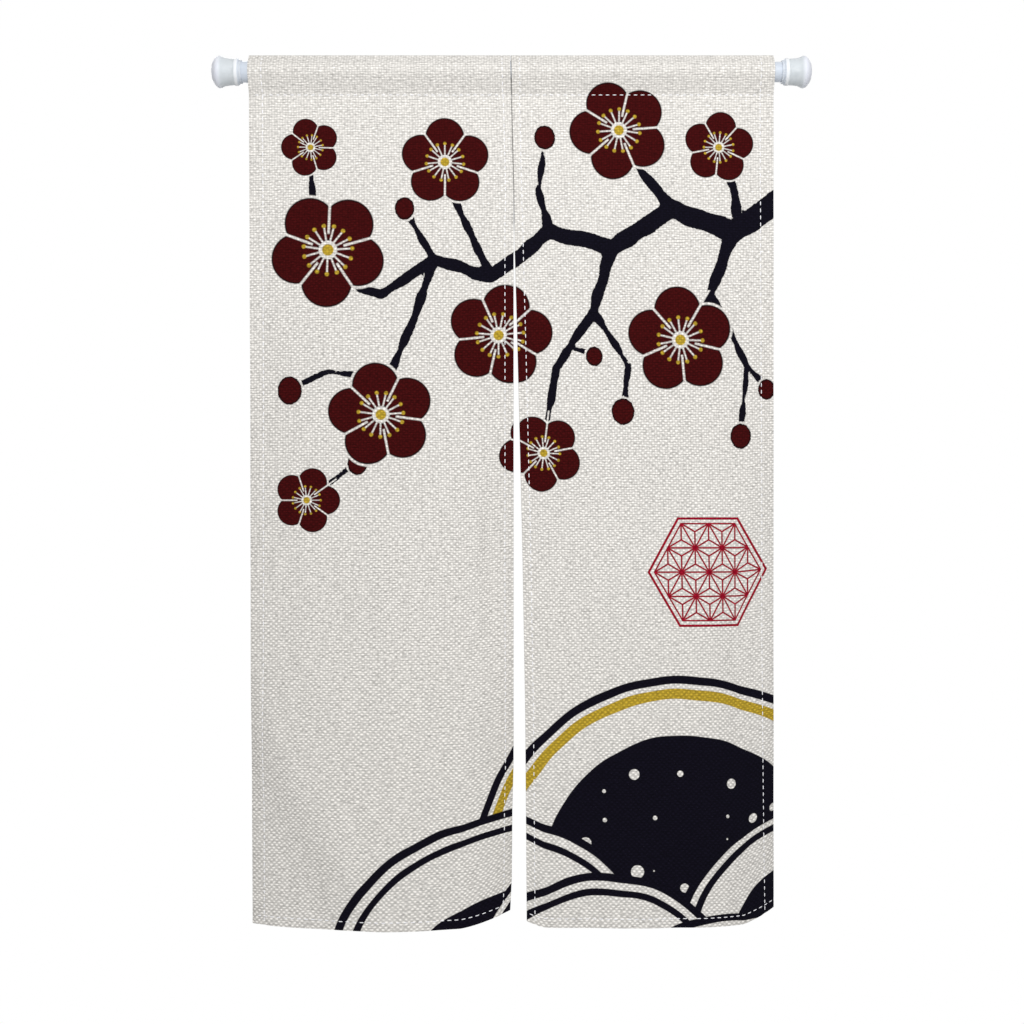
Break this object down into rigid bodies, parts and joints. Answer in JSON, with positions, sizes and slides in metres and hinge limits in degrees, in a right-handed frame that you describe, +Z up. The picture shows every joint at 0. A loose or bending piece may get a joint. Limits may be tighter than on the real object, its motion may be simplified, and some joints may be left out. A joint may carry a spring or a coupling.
{
  "type": "noren door curtain on a tension rod",
  "caption": "Split cloth door curtain, sewn together at the top and open below, hung by its top pocket on a telescoping tension rod with bell-shaped end caps.",
  "frame": {"origin": "middle of the left end cap's flat wall face, on the rod's axis", "axes": "+X along the rod to the right end cap, +Y away from the viewer through the cloth, +Z up"},
  "size_m": [0.98, 0.0868, 1.4361],
  "materials": {
    "linen": "unbleached slub weave, matte, with a printed front",
    "rod_enamel": "white enamel on steel tube, satin",
    "cap_plastic": "milky white moulded plastic, satin gloss"
  },
  "bodies": {
    "root": {"panel_left": "linen", "panel_right": "linen", "rod_outer_tube": "rod_enamel", "rod_inner_tube": "rod_enamel", "cap_left": "cap_plastic", "cap_right": "cap_plastic"}
  },
  "joints": []
}
